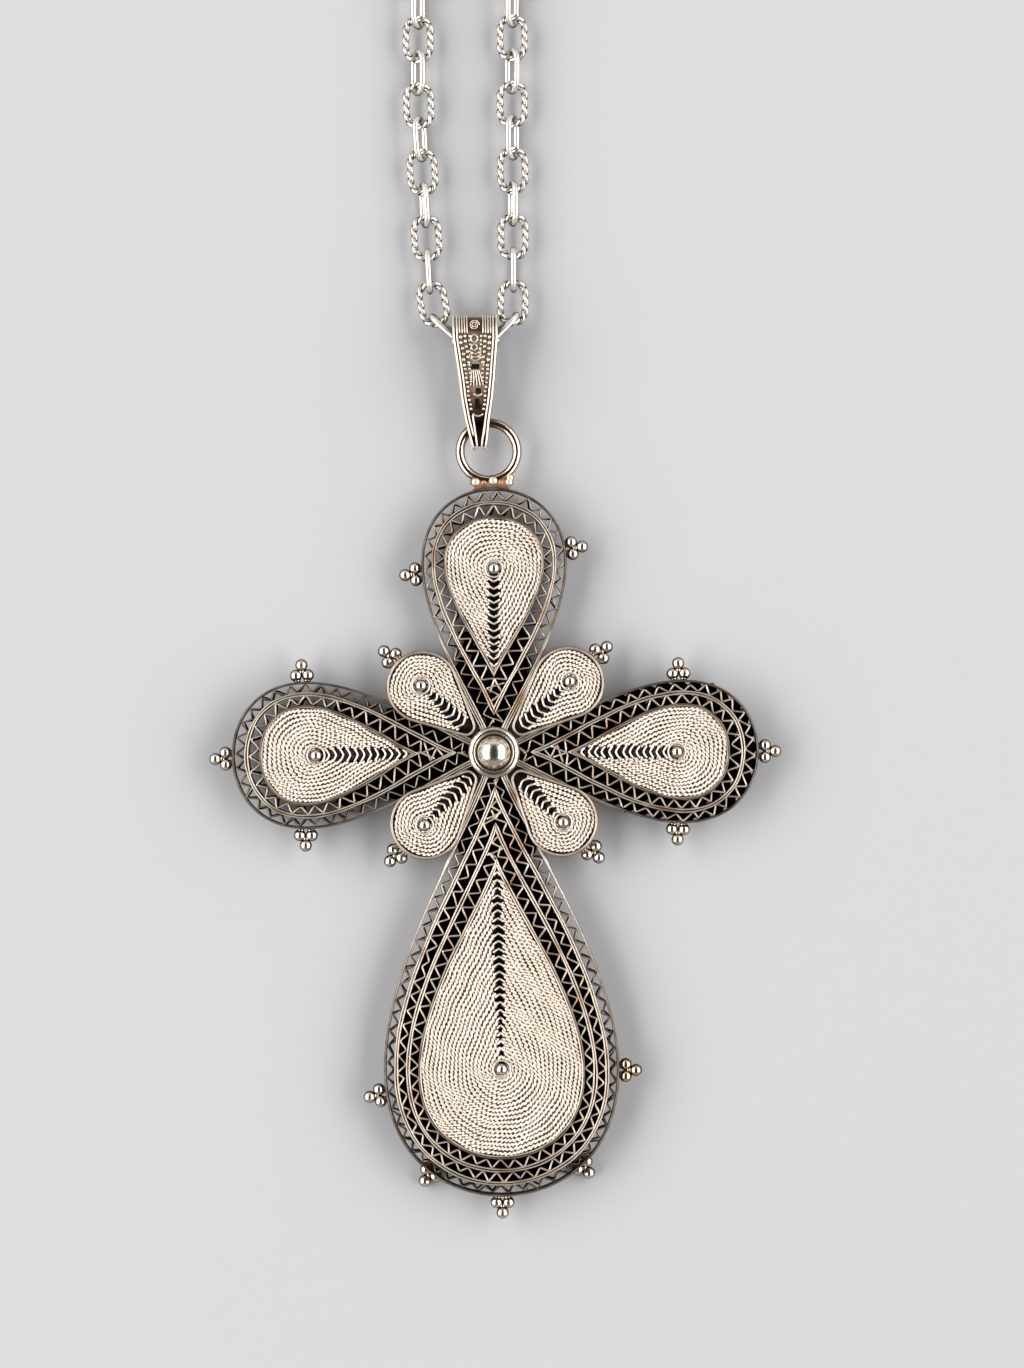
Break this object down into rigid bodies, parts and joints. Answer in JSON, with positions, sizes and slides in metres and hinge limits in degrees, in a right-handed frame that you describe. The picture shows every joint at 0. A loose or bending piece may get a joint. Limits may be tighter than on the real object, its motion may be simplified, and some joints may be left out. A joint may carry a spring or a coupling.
{
  "type": "filigree cross necklace",
  "caption": "Cross pendant of twisted silver wire filigree with granules and a domed centre, on a ring and a folded bail, hung on a cable chain of twisted and smooth links",
  "frame": {"origin": "middle of the cross, on the surface that its back lies on", "axes": "+Y from the middle of the cross up to the chain, +X to the right seen from the front, +Z from the back to the front"},
  "size_m": [0.117, 0.2578, 0.0059],
  "materials": {
    "oxidised_silver": "darkened silver rims and zigzag wire, worn bright on their edges",
    "filigree_silver": "bright warm silver twisted wire with brown patina between the turns",
    "polished_silver": "polished silver granules and dome",
    "gilt_silver": "pale gold wash on smooth wire",
    "bail_silver": "aged silver filigree strip, dark in its recesses",
    "chain_silver": "bright silver wire, dark in the grooves of the twist"
  },
  "bodies": {
    "root": {"frame_top": "oxidised_silver", "frame_left": "oxidised_silver", "frame_right": "oxidised_silver", "frame_bottom": "oxidised_silver", "panel_front_top": "filigree_silver", "panel_front_left": "filigree_silver", "panel_front_right": "filigree_silver", "panel_front_bottom": "filigree_silver", "panel_back_top": "filigree_silver", "panel_back_left": "filigree_silver", "panel_back_right": "filigree_silver", "panel_back_bottom": "filigree_silver", "petal_upper_left": "filigree_silver", "petal_upper_right": "filigree_silver", "petal_lower_left": "filigree_silver", "petal_lower_right": "filigree_silver", "centre_boss": "polished_silver", "granules_top_left": "polished_silver", "granules_top_right": "polished_silver", "granules_left_end": "polished_silver", "granules_left_upper": "polished_silver", "granules_left_lower": "polished_silver", "granules_right_end": "polished_silver", "granules_right_upper": "polished_silver", "granules_right_lower": "polished_silver", "granules_foot_left": "polished_silver", "granules_foot_right": "polished_silver", "granules_foot_end": "polished_silver", "granules_foot_lower_left": "polished_silver", "granules_foot_lower_right": "polished_silver", "granules_upper_left": "polished_silver", "granules_upper_right": "polished_silver", "granules_lower_left": "polished_silver", "granules_lower_right": "polished_silver", "suspension_ring": "gilt_silver", "bail": "bail_silver", "chain_left": "chain_silver", "chain_right": "chain_silver", "clasp": "chain_silver"}
  },
  "joints": []
}
